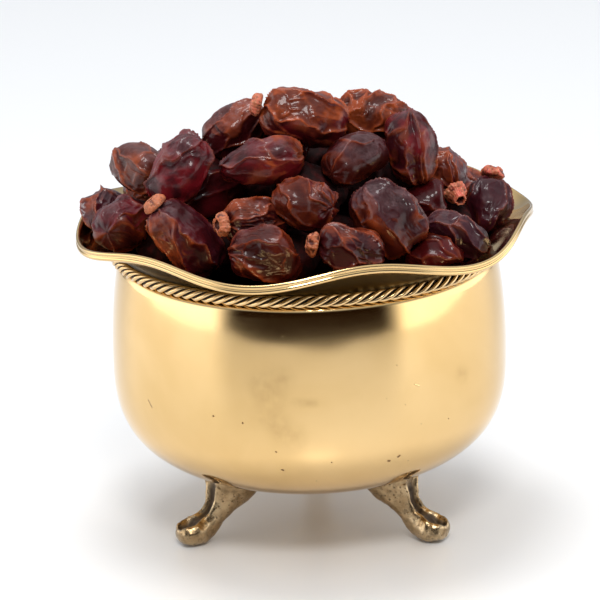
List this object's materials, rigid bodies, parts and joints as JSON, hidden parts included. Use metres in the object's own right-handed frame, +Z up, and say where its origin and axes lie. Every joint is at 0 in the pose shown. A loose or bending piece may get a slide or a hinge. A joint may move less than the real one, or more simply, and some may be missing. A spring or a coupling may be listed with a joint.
{
  "type": "bowl of dried dates",
  "caption": "Round footed brass bowl with a rope ring and a waved, flared lip, heaped with glossy wrinkled dried dates, some with their caps.",
  "frame": {"origin": "on the surface the bowl stands on, under the bowl's axis", "axes": "+Z up along the bowl's axis, -Y towards the front, +X to the right seen from the front"},
  "size_m": [0.1827, 0.183, 0.1845],
  "materials": {
    "spun_brass": "satin, lathe-brushed",
    "rope_brass": "satin with dark recesses",
    "cast_brass": "rough casting with brown patina",
    "date_skin": "glossy wrinkled skin",
    "cap": "dry and woody"
  },
  "bodies": {
    "root": {"bowl": "spun_brass", "date_01": "date_skin", "date_02": "date_skin", "date_03": "date_skin", "date_04": "date_skin", "date_05": "date_skin", "date_05_cap": "cap", "date_06": "date_skin", "date_07": "date_skin", "date_08": "date_skin", "date_08_cap": "cap", "date_09": "date_skin", "date_10": "date_skin", "date_11": "date_skin", "date_12": "date_skin", "date_12_cap": "cap", "date_13": "date_skin", "date_14": "date_skin", "date_14_cap": "cap", "date_15": "date_skin", "date_16": "date_skin", "date_16_cap": "cap", "date_17": "date_skin", "date_18": "date_skin", "date_19": "date_skin", "date_19_cap": "cap", "date_20": "date_skin", "date_21": "date_skin", "date_22": "date_skin", "date_23": "date_skin", "date_24": "date_skin", "date_25": "date_skin", "date_25_cap": "cap", "date_26": "date_skin", "date_27": "date_skin", "date_28": "date_skin", "date_29": "date_skin", "date_30": "date_skin", "date_31": "date_skin", "date_32": "date_skin", "date_33": "date_skin", "date_34": "date_skin", "date_35": "date_skin", "date_36": "date_skin", "dates_core": "date_skin", "dates_inside_1": "date_skin", "dates_inside_2": "date_skin", "dates_inside_3": "date_skin", "foot_back": "cast_brass", "foot_left": "cast_brass", "foot_right": "cast_brass", "rope_ring": "rope_brass"}
  },
  "joints": []
}
